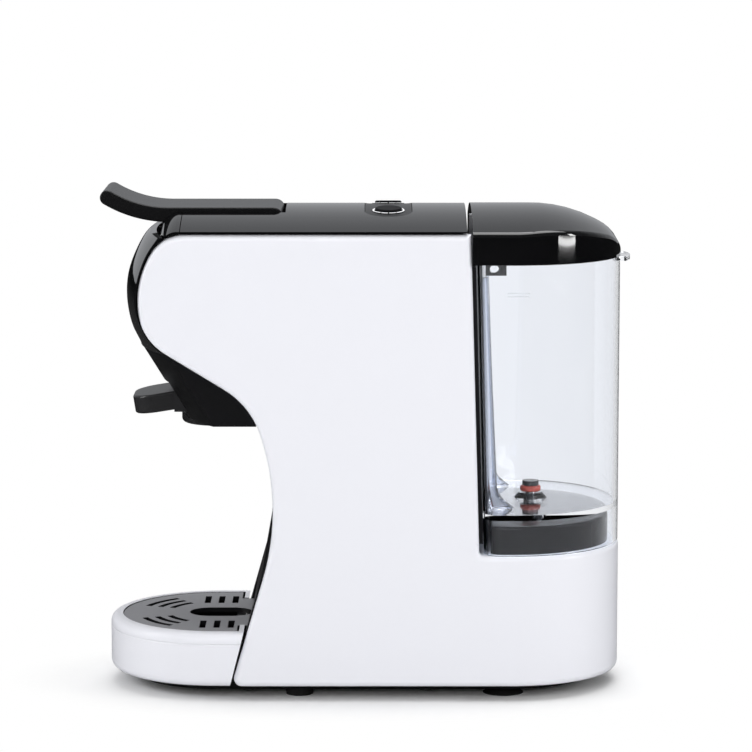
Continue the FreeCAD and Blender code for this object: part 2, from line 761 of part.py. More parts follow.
# Controls on the crest: inlay, light rings, buttons, board and rubber domes
def controls():
    crest = dim("crest")
    skin = crowned("inlay_skin", polygon((-20, crest - wall), (40, crest - wall),
                                         (40, crest - 0.3), (-20, crest - 0.3)))
    shape = extrude("inlay_shape", "XY_Plane",
                    slot_plan(dim("inlay_x"), dim("inlay_half"), dim("inlay_reach")), "30", "230")
    angle = math.degrees(math.asin(dim("button_y") / dim("crown_radius")))
    holes = []
    for i, side in enumerate((-1, 1)):
        hole = rod(f"inlay_hole_{i}", "ring_radius + 0.15", ("inlay_x", "0", "crest - 12"), "20")
        holes.append(tilt(fuse(f"inlay_hole_turned_{i}", hole,
                               rod(f"inlay_hole_core_{i}", "2", ("inlay_x", "0", "crest - 12"), "20")),
                          -side * angle))
    cut("control_inlay", common("inlay_plate", skin, shape), *holes)
    for name, side in (("left", -1), ("right", 1)):
        ring = cut(f"ring_{name}",
                   rod(f"ring_outer_{name}", "ring_radius", ("inlay_x", "0", "crest - 2.5"), "2.4"),
                   rod(f"ring_inner_{name}", "button_radius + 0.3", ("inlay_x", "0", "crest - 5"), "10"))
        tilt(ring, -side * angle)
        ring.Label = f"light_ring_{name}"
        cap = rod(f"cap_{name}", "button_radius", ("inlay_x", "0", "crest - 3"), "3 + button_rise")
        button = round_edges(f"button_{name}", cap, 0.8,
                             lambda e: abs(e.BoundBox.ZMin - crest - dim("button_rise")) < 0.01)
        tilt(button, -side * angle)
        button.Label = f"button_{name}"
        parts.extend([ring, button])
    board = box("board_slab", ("inlay_x - 10", "-30", "235.8"), ("inlay_x + 10", "30", "237.4"))
    posts = [rod(f"board_post_{i}", "1.8", (f"inlay_x + {dx}", str(y), "237.2"), "3.2")
             for i, (dx, y) in enumerate(((-8, -28), (8, -28), (-8, 28), (8, 28)))]
    fuse("button_board", board, *posts)
    group("button_domes", *[rod(f"dome_{i}", "4", ("inlay_x", f"{side} * button_y * 0.985", "237.4"), "1.9")
                            for i, side in enumerate((-1, 1))])


parts = []
controls()


# Lever: crowned handle with a bent tip, a round rear knuckle and a crank
def lever_handle():
    crest, under = dim("lever_crest"), dim("lever_under")
    px, pz = dim("pivot_x"), dim("pivot_z")
    end_radius = crest - pz
    bend, start = dim("lever_bend"), dim("lever_bend_start")
    reach = math.radians(30.5)

    def bend_point(radius, share):
        angle = reach * share
        return V(start - radius * math.sin(angle), crest + bend - radius * math.cos(angle), 0)

    outer = bend + (crest - under)
    top_end = bend_point(bend, 1)
    low_end = bend_point(outer, 1)
    nose = V(-133.6, (top_end.y + low_end.y) / 2 - 1, 0)
    curves = [Part.LineSegment(V(px, crest, 0), V(start, crest, 0)),
              Part.Arc(V(start, crest, 0), bend_point(bend, 0.5), top_end),
              Part.Arc(top_end, nose, low_end),
              Part.Arc(low_end, bend_point(outer, 0.5), V(start, under, 0)),
              Part.LineSegment(V(start, under, 0), V(px - 4.33, under, 0)),
              Part.Arc(V(px - 4.33, under, 0), V(px + end_radius, pz, 0), V(px, crest, 0))]
    blank = extrude("lever_blank", "XZ_Plane", curves, "2 * lever_half", symmetric=True)
    smooth = round_edges("lever_smooth", blank, 1, lambda e: e.BoundBox.YLength < 0.01)
    angle = math.radians(dim("crank_angle"))
    reach_x = dim("crank_reach") * math.cos(angle)
    reach_z = dim("crank_reach") * math.sin(angle)
    lugs = []
    for i, side in enumerate((-1, 1)):
        near, far = sorted((side * 5.2, side * 8.4))
        lugs.append(extrude(f"lever_lug_{i}", "XZ_Plane", polygon(
            (px + 1, pz), (px + 1, pz - 4), (px - reach_x + 1, pz - reach_z - 3.8),
            (px - reach_x - 3.2, pz - reach_z - 3.4), (px - reach_x - 4, pz - 1)),
            str(far - near), str(-far)))
    pin = rod("lever_crank_pin", "crank_pin", (f"pivot_x - {reach_x}", "-8.4", f"pivot_z - {reach_z}"),
              "16.8", "y")
    hole = rod("lever_pin_hole", "pivot_pin", ("pivot_x", "-30", "pivot_z"), "60", "y")
    relief = box("lever_relief", ("-61", "-5", "230"), ("-50.4", "5", "lever_under + 1.4"))
    bare = cut("lever_relieved", smooth, relief)
    return cut("lever_handle", fuse("lever_solid", bare, *lugs, pin), hole)


lever_handle()
rod("lever_pin", "pivot_pin", ("pivot_x", "-27", "pivot_z"), "54", "y")


# Brew group: cylinder on an arm, piston with rod and yoke, seal and shower plate
def brew_cylinder():
    tube = rod("cylinder_tube", "bore_radius + 3", ("brew_axis", "0", "piston_face"),
               "cylinder_top - piston_face")
    arm = box("cylinder_arm", ("brew_axis + 22", "-14", "172"), ("spine_x", "14", "186"))
    bore = rod("cylinder_bore", "bore_radius", ("brew_axis", "0", "piston_face - 1"),
               "cylinder_top - piston_face - 3")
    guide = rod("cylinder_guide", "rod_radius + running_gap", ("brew_axis", "0", "cylinder_top - 10"), "20")
    return cut("brew_cylinder", fuse("cylinder_solid", tube, arm), bore, guide)


brew_cylinder()


def brew_piston():
    angle = math.radians(dim("crank_angle"))
    slot_z = dim("pivot_z") - dim("crank_reach") * math.sin(angle)
    head = rod("piston_head", "piston_radius", ("brew_axis", "0", "piston_face + 2"), "10")
    stem = rod("piston_rod", "rod_radius", ("brew_axis", "0", "piston_face + 11"), "228 - piston_face - 11")
    yoke = box("piston_yoke", ("brew_axis - 6", "-4.6", "226"), ("-53.4", "4.6", "238.2"))
    slot = box("piston_slot", ("-61", "-6", f"{slot_z} - 2.5"), ("-50", "6", f"{slot_z} + 2.5"))
    groove = cut("piston_groove",
                 rod("piston_groove_outer", "piston_radius + 1", ("brew_axis", "0", "piston_face + 5"), "3"),
                 rod("piston_groove_inner", "piston_radius - 2", ("brew_axis", "0", "piston_face + 4"), "5"))
    return cut("brew_piston", fuse("piston_solid", head, stem, yoke), slot, groove)


brew_piston()
cut("piston_seal", rod("seal_outer", "piston_radius + 0.1", ("brew_axis", "0", "piston_face + 5"), "3"),
    rod("seal_inner", "piston_radius - 2", ("brew_axis", "0", "piston_face + 4"), "5"))


def shower_plate():
    plate = rod("shower_disc", "piston_radius - 1", ("brew_axis", "0", "piston_face"), "2")
    holes = []
    for i in range(8):
        angle = 2 * math.pi * i / 8
        holes.append(rod(f"shower_hole_{i}", "0.9", (f"brew_axis + {14 * math.cos(angle)}",
                                                     f"{14 * math.sin(angle)}", "piston_face - 1"), "5"))
    return cut("shower_plate", plate, *holes)


shower_plate()


def pod_holder():
    drawer = box("holder_drawer", ("holder_front", "-holder_half", "holder_bottom"),
                 ("holder_rear", "holder_half", "holder_top"))
    tab = box("holder_tab_block", ("tab_front", "-tab_half", "0"),
              ("holder_front + 6", "tab_half", "tab_thick"))
    tab_round = round_edges("holder_tab_round", tab, 12, lambda e: e.BoundBox.ZLength > 5
                            and abs(e.BoundBox.XMin - dim("tab_front")) < 0.01)
    tab_soft = round_edges("holder_tab_soft", tab_round, 1.2, lambda e: e.BoundBox.ZLength < 0.01
                           and e.BoundBox.XMin < dim("holder_front") - 2)
    hinge = V(dim("holder_front"), 0, 0)
    tab_soft.Placement = FreeCAD.Placement(V(0, 0, dim("holder_bottom") - 0.2),
                                           FreeCAD.Rotation(V(0, 1, 0), -dim("tab_tilt")), hinge)
    body = fuse("holder_solid", drawer, tab_soft)
    cup = rod("holder_cup", "pod_radius", ("brew_axis", "0", "holder_bottom + 2.5"), "30")
    outlets = [rod(f"holder_outlet_{i}", "1.6", (f"brew_axis + {dx}", "0", "holder_bottom - 1"), "6")
               for i, dx in enumerate((-6, 0, 6))]
    return cut("pod_holder", body, cup, *outlets)


pod_holder()


# Water tank: clear shell with a skirt over the dock, a valve boss and a thumb lip
def tank():
    low, high = dim("shelf_top"), dim("tank_top")
    front_low, front_high = dim("tank_front_foot"), dim("tank_front_top")
    radius, corner, skin = dim("tank_radius"), dim("tank_corner"), dim("tank_wall")

    def front_at(z):
        return front_low + (front_high - front_low) * (z - low) / (high - low)

    def level(body, name, z, inset):
        return sketch(body, name, "XY_Plane",
                      tank_plan(front_at(z) + inset, radius - inset, corner - inset), str(z))

    floor = dim("tank_floor")
    body = new_body("tank_body")
    loft(body, "tank_outer", [level(body, "tank_foot", low, 0), level(body, "tank_rim", high, 0)], ruled=True)
    loft(body, "tank_inside",
         [level(body, "tank_bed", floor, skin), level(body, "tank_mouth", high + 2, skin)],
         subtract=True, ruled=True)
    loft(body, "tank_under", [level(body, "tank_skirt", low - 2, skin),
                              level(body, "tank_ceiling", floor - dim("tank_floor_thick"), skin)],
         subtract=True, ruled=True)
    boss = doc.addObject("Part::Cone", "tank_boss")
    boss.Radius1 = 8.5
    boss.Radius2 = 6
    boss.Height = 2.8
    place(boss, "valve_x", "0", "tank_floor")
    lip = common("tank_lip", rod("tank_lip_disc", "30", (f"tank_lip - 30", "0", "tank_top - 2.4"), "2.4"),
                 box("tank_lip_limit", ("rear_centre + tank_radius - 4", "-12", "200"), ("140", "12", "230")))
    stem_hole = rod("tank_stem_hole", "2.6", ("valve_x", "0", "tank_floor - 10"), "30")
    return cut("tank", fuse("tank_solid", body, boss, lip), stem_hole)


tank()


def ellipse_fall(start, crest, end, low):
    """Quarter ellipse from the crest down to the rear end, as two tangent-like arcs."""
    a, b = end - start, crest - low
    points = [V(start + a * math.sin(t), low + b * math.cos(t), 0)
              for t in (math.radians(d) for d in (0, 24, 50, 70, 90))]
    return [Part.Arc(*points[0:3]), Part.Arc(*points[2:5])]


def tank_lid():
    crest, low = dim("lid_crest"), dim("lid_bottom")
    front = dim("lid_front")
    centre_z = crest - dim("lid_crown")
    end = rear + half
    profile = [Part.LineSegment(V(front - 5, low - 10, 0), V(front - 5, crest, 0)),
               Part.LineSegment(V(front - 5, crest, 0), V(dim("lid_fall_start"), crest, 0)),
               *ellipse_fall(dim("lid_fall_start"), crest, end + 0.4, low),
               Part.LineSegment(V(end + 0.4, low, 0), V(end + 0.4, low - 10, 0)),
               Part.LineSegment(V(end + 0.4, low - 10, 0), V(front - 5, low - 10, 0))]
    dome = revolve("lid_dome", profile, centre_z, 46)
    plan = extrude("lid_plan", "XY_Plane", rounded_end(rear, half, front), "40", "lid_bottom")
    block = common("lid_block", dome, plan)
    smooth = round_edges("lid_smooth", block, 2.6, lambda e: e.BoundBox.ZMin > low + 0.5
                         and e.BoundBox.XLength > 1 and e.BoundBox.YMin * e.BoundBox.YMax >= -1)
    hollow = extrude("lid_hollow", "XY_Plane", tank_plan(front + 4, half - 4, 6), "9", "lid_bottom - 1")
    lugs = []
    for i, side in enumerate((-1, 1)):
        near, far = sorted((side * 44, side * 49))
        lug = box(f"lid_lug_{i}", ("59.2", str(near), "lid_bottom - 5.8"),
                  ("69.4", str(far), "lid_bottom + 9"))
        eye = rod(f"lid_eye_{i}", "2.2", ("63.4", str(near - 1), "lid_bottom - 2.6"), "8", "y")
        lugs.append(cut(f"lid_lug_eyed_{i}", lug, eye))
    return fuse("tank_lid", cut("lid_shell", smooth, hollow), *lugs)


tank_lid()


# Tank valve: plunger with a red seal above the boss and a spring below the floor
def valve():
    stem = rod("valve_stem", "2.1", ("valve_x", "0", "tank_floor - 5"), "13.4")
    cap = rod("valve_cap", "4.2", ("valve_x", "0", "tank_floor + 6.3"), "2.4")
    fuse("valve_plunger", stem, cap)
    ring = cut("valve_ring", rod("valve_ring_outer", "5.3", ("valve_x", "0", "tank_floor + 3.2"), "3"),
               rod("valve_ring_inner", "2.1", ("valve_x", "0", "tank_floor"), "20"))
    round_edges("valve_seal", ring, 1, lambda e: e.BoundBox.XLength > 8)
    cut("valve_spring",
        rod("spring_outer", "4", ("valve_x", "0", "tank_floor - tank_floor_thick - 2"), "1.8"),
        rod("spring_inner", "2.9", ("valve_x", "0", "tank_floor - 10"), "20"))


valve()


def tank_dock():
    plinth = extrude("dock_plinth", "XY_Plane", tank_plan(dim("dock_front"), dim("dock_radius"), 6),
                     "dock_top - shelf_top", "shelf_top")
    smooth = round_edges("dock_smooth", plinth, 1.6, lambda e: abs(e.BoundBox.ZMin - dim("dock_top")) < 0.01)
    nipple = rod("dock_nipple", "6", ("valve_x", "0", "shelf_top - 12"), "14")
    socket = rod("dock_socket", "9", ("valve_x", "0", "dock_top - 7"), "10")
    bore = rod("dock_bore", "2.5", ("valve_x", "0", "50"), "60")
    return cut("tank_dock", fuse("dock_solid", smooth, nipple), socket, bore)


tank_dock()
cut("dock_seal", rod("dock_seal_outer", "8.8", ("valve_x", "0", "dock_top - 7"), "3"),
    rod("dock_seal_inner", "4", ("valve_x", "0", "dock_top - 10"), "10"))


# Cord gland at the rear
def cord_gland():
    sleeve = rod("gland_sleeve", "5", ("rear_centre + half_width - 8", "0", "gland_z"), "7.7", "x")
    flange = rod("gland_flange", "7.5", ("rear_centre + half_width - wall - 2", "0", "gland_z"), "1.2", "x")
    bore = rod("gland_bore", "3.5", ("rear_centre + half_width - 12", "0", "gland_z"), "20", "x")
    return cut("cord_gland", fuse("gland_solid", sleeve, flange), bore)


cord_gland()


# Chassis: spine behind the front panel and a rack that carries the boiler and the board
def chassis():
    spine = box("chassis_spine", ("spine_x", "-chassis_half", "panel_bottom"),
                ("spine_x + sheet_thick", "chassis_half", "228"))
    rack = box("chassis_rack", ("spine_x + 1", "-chassis_half", "rack_z"),
               ("46", "chassis_half", "rack_z + sheet_thick"))
    rear_leg = box("chassis_leg", ("43", "-chassis_half", "panel_bottom"),
                   ("46", "chassis_half", "rack_z + 1"))
    leg_hole = rod("chassis_leg_hole", "8", ("40", "0", "pump_z"), "10", "x")
    hose_hole = rod("chassis_hose_hole", "5", ("-28", "0", "rack_z - 2"), "8")
    spine_hole = rod("chassis_spine_hole", "5", ("spine_x - 2", "0", "193"), "8", "x")
    return cut("chassis", fuse("chassis_solid", spine, rack, rear_leg), leg_hole, hose_hole, spine_hole)


chassis()


# Pump on rubber mounts, with its plunger
def pump():
    coil = box("pump_coil", ("-20", "-16", "pump_z - 16"), ("20", "16", "pump_z + 16"))
    inlet = rod("pump_inlet", "5", ("18", "0", "pump_z"), "18", "x")
    outlet = rod("pump_outlet", "4", ("-12", "0", "pump_z + 14"), "10")
    chamber = rod("pump_chamber", "6", ("-16", "0", "pump_z"), "32", "x")
    cut("pump_body", fuse("pump_solid", coil, inlet, outlet), chamber)
    rod("pump_plunger", "5.9", ("-10", "0", "pump_z"), "20", "x")
    mounts = [box(f"pump_mount_{i}", (f"{x} - 5", "-12", "panel_bottom"), (f"{x} + 5", "12", "pump_z - 16"))
              for i, x in enumerate((-13, 13))]
    group("pump_mounts", *mounts)


pump()


def flow_meter():
    shell_body = rod("meter_shell", "13", ("valve_x", "0", "pump_z - 7"), "14")
    post = box("meter_post", ("valve_x - 6", "-6", "panel_bottom"), ("valve_x + 6", "6", "pump_z - 6"))
    side_port = rod("meter_port", "4", ("valve_x - 22", "0", "pump_z"), "12", "x")
    top_port = rod("meter_top_port", "4", ("valve_x", "0", "pump_z + 6"), "8")
    chamber = rod("meter_chamber", "10.2", ("valve_x", "0", "pump_z - 4.6"), "9.2")
    axle = rod("meter_axle", "1", ("valve_x", "0", "pump_z - 5"), "10")
    hollow = cut("meter_hollow", fuse("meter_solid", shell_body, post, side_port, top_port), chamber)
    fuse("flow_meter", hollow, axle)
    hub = rod("rotor_hub", "2.5", ("valve_x", "0", "pump_z - 4.2"), "8.4")
    low, high = "pump_z - 3.5", "pump_z + 3.5"
    blades = [box("rotor_blade_x", ("valve_x - 9.6", "-0.8", low), ("valve_x + 9.6", "0.8", high)),
              box("rotor_blade_y", ("valve_x - 0.8", "-9.6", low), ("valve_x + 0.8", "9.6", high))]
    bore = rod("rotor_bore", "1 + running_gap", ("valve_x", "0", "pump_z - 8"), "16")
    cut("meter_rotor", fuse("rotor_solid", hub, *blades), bore)


flow_meter()


# Boiler block with its thermostat, and the control board on the rack
def boiler():
    block = box("boiler_block", ("-18", "-24", "rack_z + sheet_thick"), ("32", "24", "162"))
    rounded = round_edges("boiler_round", block, 5, lambda e: e.BoundBox.ZLength > 10)
    inlet = rod("boiler_inlet", "4", ("-22", "0", "140"), "6", "x")
    outlet = rod("boiler_outlet", "4", ("-6", "0", "161"), "6")
    fuse("boiler", rounded, inlet, outlet)
    rod("thermostat", "8", ("18", "0", "162"), "7")


boiler()


def control_board():
    board = box("board_plate", ("-24", "36", "rack_z + sheet_thick"), ("36", "37.6", "190"))
    relay = box("board_relay", ("-16", "28.5", "165"), ("2", "36.2", "182"))
    capacitor = rod("board_capacitor", "5", ("16", "27", "172"), "9.2", "y")
    return fuse("control_board", board, relay, capacitor)


control_board()


# Hoses: straight runs joined by tangent arcs
def hose(name, points, bend=9):
    corners = [V(*p) for p in points]
    edges, at = [], corners[0]
    for before, corner, after in zip(corners, corners[1:], corners[2:]):
        into = (corner - before).normalize()
        out = (after - corner).normalize()
        turn = into.getAngle(out)
        reach = bend * math.tan(turn / 2)
        start, end = corner - into * reach, corner + out * reach
        bisector = (out - into).normalize()
        centre = corner + bisector * (bend / math.cos(turn / 2))
        edges += [Part.LineSegment(at, start).toShape(),
                  Part.Arc(start, centre - bisector * bend, end).toShape()]
        at = end
    edges.append(Part.LineSegment(at, corners[-1]).toShape())
    path = Part.Wire(edges)
    ring = Part.Wire(Part.makeCircle(dim("hose_radius"), corners[0], corners[1] - corners[0]))
    tube = path.makePipeShell([ring], True, False)
    expected = math.pi * dim("hose_radius") ** 2 * path.Length
    if abs(tube.Volume / expected - 1) > 0.02:
        raise RuntimeError(f"{name}: volume {tube.Volume:.0f}, expected {expected:.0f}")
    node = doc.addObject("Part::Feature", name)
    node.Shape = tube
    node.Placement = FreeCAD.Placement()
    return node


pump_z = dim("pump_z")
valve_x = dim("valve_x")
hose("hose_dock_to_meter", [(valve_x, 0, dim("shelf_top") - 12), (valve_x, 0, pump_z + 14)])
hose("hose_meter_to_pump", [(valve_x - 22, 0, pump_z), (36, 0, pump_z)])
hose("hose_pump_to_boiler",
     [(-12, 0, pump_z + 24), (-12, 0, 80), (-28, 0, 100), (-28, 0, 140), (-22, 0, 140)], 5)
hose("hose_boiler_to_brew",
     [(-6, 0, 167), (-6, 0, 193), (dim("brew_axis") + dim("bore_radius") + 3, 0, 193)], 14)


NODES = """left_shell right_shell top_cover front_trim front_fascia chin_shroud spout front_panel back_panel
base_plate base_screws suction_feet front_pads drip_tray drip_grille control_inlay ring_left ring_right
button_left button_right button_board button_domes lever_handle lever_pin brew_cylinder brew_piston
piston_seal shower_plate pod_holder tank tank_lid valve_plunger valve_seal valve_spring tank_dock dock_seal
cord_gland chassis pump_body pump_plunger pump_mounts flow_meter meter_rotor boiler thermostat control_board
hose_dock_to_meter hose_meter_to_pump hose_pump_to_boiler hose_boiler_to_brew""".split()


def write_parts():
    doc.recompute()
    failed = [o.Name for o in doc.Objects if {"Invalid", "Error"} & set(o.State)]
    if failed:
        raise RuntimeError("failed: " + ", ".join(failed))
    for name in NODES:
        shape = doc.getObject(name).Shape
        if shape.isNull() or not shape.isValid() or shape.Volume <= 0:
            raise RuntimeError(f"{name}: not a valid solid")
    os.makedirs("parts", exist_ok=True)
    for name in NODES:
        node = doc.getObject(name)
        node.Shape.exportStep(f"parts/{node.Label}.step")
        print(f"{node.Label}: {len(node.Shape.Solids)} solids, {node.Shape.Volume:.0f} mm3")


write_parts()
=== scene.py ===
import math
import bpy
from mathutils import Matrix, Vector


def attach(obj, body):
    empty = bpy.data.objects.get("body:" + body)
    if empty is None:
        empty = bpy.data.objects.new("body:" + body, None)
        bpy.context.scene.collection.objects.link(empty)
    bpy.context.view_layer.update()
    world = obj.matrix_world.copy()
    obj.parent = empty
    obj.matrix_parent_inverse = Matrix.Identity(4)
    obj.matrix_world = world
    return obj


bl_info = {
    "name": "Pod coffee machine",
    "version": (1, 0, 0),
    "blender": (4, 5, 0),
    "location": "View3D > Sidebar > Coffee machine",
    "description": "Finishes and small details of a pod coffee machine on its construction frame",
    "category": "Object",
}

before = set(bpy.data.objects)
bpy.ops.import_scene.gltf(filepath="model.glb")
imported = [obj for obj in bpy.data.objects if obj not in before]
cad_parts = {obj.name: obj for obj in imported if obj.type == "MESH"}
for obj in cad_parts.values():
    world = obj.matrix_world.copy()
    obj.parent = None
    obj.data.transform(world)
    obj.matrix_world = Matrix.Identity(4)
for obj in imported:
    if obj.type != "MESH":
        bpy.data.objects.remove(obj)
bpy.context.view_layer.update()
MM = 0.001

# Crowned top and its round controls, in millimetres
CROWN_RADIUS = 190.0
CROWN_AXIS_HEIGHT = 55.4
CONTROL_X = 11.0
CONTROL_SIDE = 18.8
RING_RADIUS = 7.65

# Fine grain of moulded plastic
GRAIN_SCALE = 2600.0
GRAIN_DETAIL = 3.0
GRAIN_DEPTH = 0.2 * MM

# Colours of small and inner pieces
RING_LIGHT = (0.92, 0.93, 0.95)
BOARD_GREEN = (0.02, 0.12, 0.05)
DOME_GREY = (0.3, 0.3, 0.3)
BRIGHT_STEEL = (0.55, 0.55, 0.56)
PLAIN_STEEL = (0.5, 0.5, 0.5)
BOILER_ALLOY = (0.6, 0.6, 0.61)
RUBBER_BLACK = (0.012, 0.012, 0.012)
VALVE_BLACK = (0.015, 0.015, 0.016)
SEAL_BLACK = (0.02, 0.02, 0.02)
INK_GREY = (0.62, 0.64, 0.68)
INNER_GREY = (0.06, 0.06, 0.065)
ROTOR_WHITE = (0.7, 0.7, 0.7)
HOSE_GREY = (0.55, 0.55, 0.53)


# Settings
class CoffeeColours(bpy.types.PropertyGroup):
    white: bpy.props.FloatVectorProperty(
        name="White shell", description="Side shells and drip tray", subtype="COLOR",
        size=3, min=0, max=1, default=(0.79, 0.795, 0.84))
    gloss: bpy.props.FloatVectorProperty(
        name="Black gloss", description="Top cover, lid, front trim and front band", subtype="COLOR",
        size=3, min=0, max=1, default=(0.003, 0.003, 0.0035))
    satin: bpy.props.FloatVectorProperty(
        name="Black satin", description="Chin, column, base, buttons and the tray's pan", subtype="COLOR",
        size=3, min=0, max=1, default=(0.006, 0.006, 0.007))
    lever: bpy.props.FloatVectorProperty(
        name="Lever grey", description="Lever, pod holder and spout", subtype="COLOR",
        size=3, min=0, max=1, default=(0.007, 0.007, 0.0075))
    grille: bpy.props.FloatVectorProperty(
        name="Grille grey", description="Drip grille", subtype="COLOR",
        size=3, min=0, max=1, default=(0.225, 0.225, 0.24))
    dock: bpy.props.FloatVectorProperty(
        name="Dock grey", description="Plinth under the tank", subtype="COLOR",
        size=3, min=0, max=1, default=(0.012, 0.012, 0.013))
    tank: bpy.props.FloatVectorProperty(
        name="Clear tank", description="Tint of the clear tank", subtype="COLOR",
        size=3, min=0, max=1, default=(0.93, 0.945, 0.98))
    rail: bpy.props.FloatVectorProperty(
        name="Tank rail", description="Tint of the rails inside the tank", subtype="COLOR",
        size=3, min=0, max=1, default=(0.72, 0.76, 0.86))
    seal: bpy.props.FloatVectorProperty(
        name="Red seal", description="Seal of the tank valve", subtype="COLOR",
        size=3, min=0, max=1, default=(0.30, 0.045, 0.03))


class CoffeeSizes(bpy.types.PropertyGroup):
    level_length: bpy.props.FloatProperty(
        name="Level line", description="Length of the level lines on the tank", unit="LENGTH",
        min=0.002, max=0.03, default=0.011)
    ring_width: bpy.props.FloatProperty(
        name="Ring width", description="Width of the lit ring round a button", unit="LENGTH",
        min=0.0003, max=0.002, default=0.0009)
    camera_distance: bpy.props.FloatProperty(
        name="Camera distance", description="Distance of the camera in front of the middle plane",
        unit="LENGTH", min=0.5, max=5, default=1.8311)


# Shader nodes
class Socket:
    """An output socket, with arithmetic and comparisons that add Math nodes."""

    def __init__(self, net, output):
        self.net = net
        self.output = output

    def _math(self, operation, first, second=0.0):
        return self.net.node("ShaderNodeMath", {"operation": operation}, {0: first, 1: second})

    def __add__(self, other):
        return self._math("ADD", self, other)

    def __radd__(self, other):
        return self._math("ADD", other, self)

    def __sub__(self, other):
        return self._math("SUBTRACT", self, other)

    def __rsub__(self, other):
        return self._math("SUBTRACT", other, self)

    def __mul__(self, other):
        return self._math("MULTIPLY", self, other)

    def __rmul__(self, other):
        return self._math("MULTIPLY", other, self)

    def __lt__(self, other):
        return self._math("LESS_THAN", self, other)

    def __gt__(self, other):
        return self._math("GREATER_THAN", self, other)

    def __or__(self, other):
        return self._math("MAXIMUM", self, other)

    def __ror__(self, other):
        return self._math("MAXIMUM", other, self)

    def __abs__(self):
        return self._math("ABSOLUTE", self)


class Net:
    """The node tree of one material or world."""

    def __init__(self, owner):
        owner.use_nodes = True
        self.tree = owner.node_tree
        self.tree.nodes.clear()

    def node(self, kind, settings=None, values=None, output=0):
        made = self.tree.nodes.new(kind)
        for name, value in (settings or {}).items():
            setattr(made, name, value)
        for key, value in (values or {}).items():
            if isinstance(value, Socket):
                self.tree.links.new(value.output, made.inputs[key])
            else:
                made.inputs[key].default_value = value
        return Socket(self, made.outputs[output]) if made.outputs else made

    def position(self):
        return self.node("ShaderNodeTexCoord", output="Object")

    def light_path(self, ray):
        return self.node("ShaderNodeLightPath", output=ray)

    def vector(self, operation, first, second=(0, 0, 0), output=0):
        return self.node("ShaderNodeVectorMath", {"operation": operation}, {0: first, 1: second}, output)

    def length(self, vector):
        return self.vector("LENGTH", vector, output="Value")

    def along(self, vector, axis):
        return self.node("ShaderNodeSeparateXYZ", None, {0: vector}, axis)

    def ramp(self, value, start, end, interpolation):
        return self.node("ShaderNodeMapRange", {"interpolation_type": interpolation}, {
            "Value": value, "From Min": start, "From Max": end, "To Min": 0.0, "To Max": 1.0})

    def noise(self, scale, detail=2.0, stretch=(1, 1, 1)):
        place = self.vector("MULTIPLY", self.position(), stretch)
        return self.node("ShaderNodeTexNoise", None, {"Vector": place, "Scale": scale, "Detail": detail})

    def blend(self, factor, first, second):
        factor_in, first_in, second_in, colour_out = 0, 6, 7, 2
        return self.node("ShaderNodeMix", {"data_type": "RGBA"},
                         {factor_in: factor, first_in: (*first, 1), second_in: (*second, 1)}, colour_out)

    def bump(self, height, strength, distance):
        return self.node("ShaderNodeBump", None,
                         {"Height": height, "Strength": strength, "Distance": distance})

    def principled(self, values):
        return self.node("ShaderNodeBsdfPrincipled", None, values)

    def mix_shaders(self, factor, first, second):
        return self.node("ShaderNodeMixShader", None, {0: factor, 1: first, 2: second})

    def surface(self, shader):
        self.node("ShaderNodeOutputMaterial", None, {"Surface": shader})


# Finishes
def shade(colour, factor):
    return tuple(min(1, c * factor) for c in colour)


def uneven(roughness, spread, mask):
    """Roughness that swings by a share of itself, evenly about its own value."""
    return roughness * (1 - spread) + mask * (2 * roughness * spread)


def plastic(name, colour, roughness, grain=0.0, coat=0.0, vary=0.05, scale=60.0, **values):
    """Moulded plastic: slow colour drift, uneven polish and, where asked for, a fine grain."""
    material = bpy.data.materials.new(name)
    net = Net(material)
    drift = net.noise(scale)
    settings = {
        "Base Color": net.blend(drift, shade(colour, 1 - vary), shade(colour, 1 + vary)),
        "Roughness": uneven(roughness, 0.05, drift),
        "IOR": 1.5,
        "Coat Weight": coat,
        "Coat Roughness": 0.04,
        **values,
    }
    if grain:
        settings["Normal"] = net.bump(net.noise(GRAIN_SCALE, GRAIN_DETAIL), grain, GRAIN_DEPTH)
    net.surface(net.principled(settings))
    return material


def metal(name, colour, roughness, stretch=(1, 1, 1)):
    """Bare metal with a drawn grain along one direction."""
    line_scale, line_detail = 500.0, 3.0
    line_strength, line_depth = 0.08, 0.2 * MM
    dark, light = 0.88, 1.08
    material = bpy.data.materials.new(name)
    net = Net(material)
    lines = net.noise(line_scale, line_detail, stretch)
    net.surface(net.principled({
        "Base Color": net.blend(lines, shade(colour, dark), shade(colour, light)),
        "Metallic": 1.0,
        "Roughness": uneven(roughness, 0.3, lines),
        "Normal": net.bump(lines, line_strength, line_depth),
    }))
    return material


def clear(name, colour):
    """Clear moulded plastic with faint flow marks, letting light through to what is inside."""
    flow_scale, flow_stretch, flow_haze = 35.0, (1, 1, 0.3), 0.02
    dark, light = 0.97, 1.03
    shadow_tint = (0.9, 0.93, 0.97, 1)
    material = bpy.data.materials.new(name)
    net = Net(material)
    flow = net.noise(flow_scale, stretch=flow_stretch)
    glass = net.principled({
        "Base Color": net.blend(flow, shade(colour, dark), shade(colour, light)),
        "Roughness": flow * flow_haze,
        "IOR": 1.38,
        "Transmission Weight": 1.0,
    })
    open_way = net.node("ShaderNodeBsdfTransparent", None, {"Color": shadow_tint})
    net.surface(net.mix_shaders(net.light_path("Is Shadow Ray"), glass, open_way))
    return material


